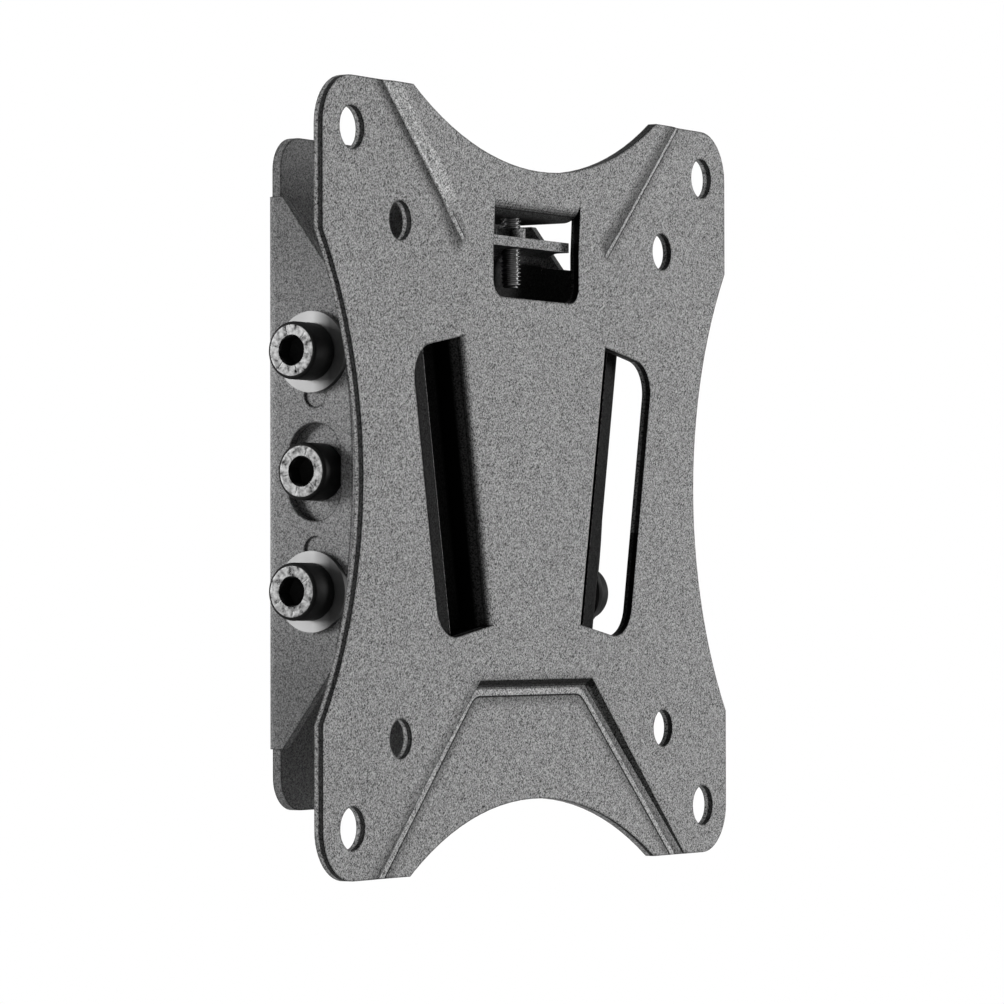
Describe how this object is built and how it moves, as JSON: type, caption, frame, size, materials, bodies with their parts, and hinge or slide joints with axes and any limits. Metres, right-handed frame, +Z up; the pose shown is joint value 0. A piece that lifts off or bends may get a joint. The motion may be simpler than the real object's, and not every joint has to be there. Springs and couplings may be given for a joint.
{
  "type": "tilting wall bracket",
  "caption": "Folded steel wall bracket for a small screen: a slotted wall channel, a tilting head with inclined rails and a waisted front plate that hooks onto them.",
  "frame": {"origin": "centre of the wall channel's back face, where it lies on the wall", "axes": "+X to the right seen from the front, +Y back towards the wall, +Z up"},
  "size_m": [0.115, 0.0259, 0.115],
  "materials": {
    "bracket_coat": "fine-textured matt powder coat, dark grey",
    "screw_black": "black finished steel, satin",
    "washer_zinc": "zinc plated, satin",
    "nut_zinc": "zinc plated, satin"
  },
  "bodies": {
    "wall": {"height_nut_left_bottom": "nut_zinc", "height_nut_left_top": "nut_zinc", "height_nut_right_bottom": "nut_zinc", "height_nut_right_top": "nut_zinc", "height_screw_left_bottom": "screw_black", "height_screw_left_top": "screw_black", "height_screw_right_bottom": "screw_black", "height_screw_right_top": "screw_black", "inner_washer_left_bottom": "washer_zinc", "inner_washer_left_top": "washer_zinc", "inner_washer_right_bottom": "washer_zinc", "inner_washer_right_top": "washer_zinc", "outer_washer_left_bottom": "washer_zinc", "outer_washer_left_top": "washer_zinc", "outer_washer_right_bottom": "washer_zinc", "outer_washer_right_top": "washer_zinc", "wall_bracket": "bracket_coat"},
    "carriage": {"height_slider_left": "bracket_coat", "height_slider_right": "bracket_coat"},
    "tilt_head": {"friction_washer_left": "washer_zinc", "friction_washer_right": "washer_zinc", "pivot_nut_left": "nut_zinc", "pivot_nut_right": "nut_zinc", "pivot_screw_left": "screw_black", "pivot_screw_right": "screw_black", "rail_plate": "bracket_coat", "tilt_yoke": "bracket_coat"},
    "screen_plate": {"front_plate": "bracket_coat", "lock_screw": "screw_black"}
  },
  "joints": [
    {"name": "height_adjust", "type": "slide", "parent": "wall", "child": "carriage", "axis": [0, 0, 1], "range_m": [-0.002, 0.002]},
    {"name": "tilt", "type": "hinge", "parent": "carriage", "child": "tilt_head", "pos_m": [0, -0.0089, 0], "axis": [1, 0, 0], "range_deg": [-5, 15]},
    {"name": "plate_lift", "type": "slide", "parent": "tilt_head", "child": "screen_plate", "axis": [0, 0, 1], "range_m": [0, 0.018]}
  ]
}
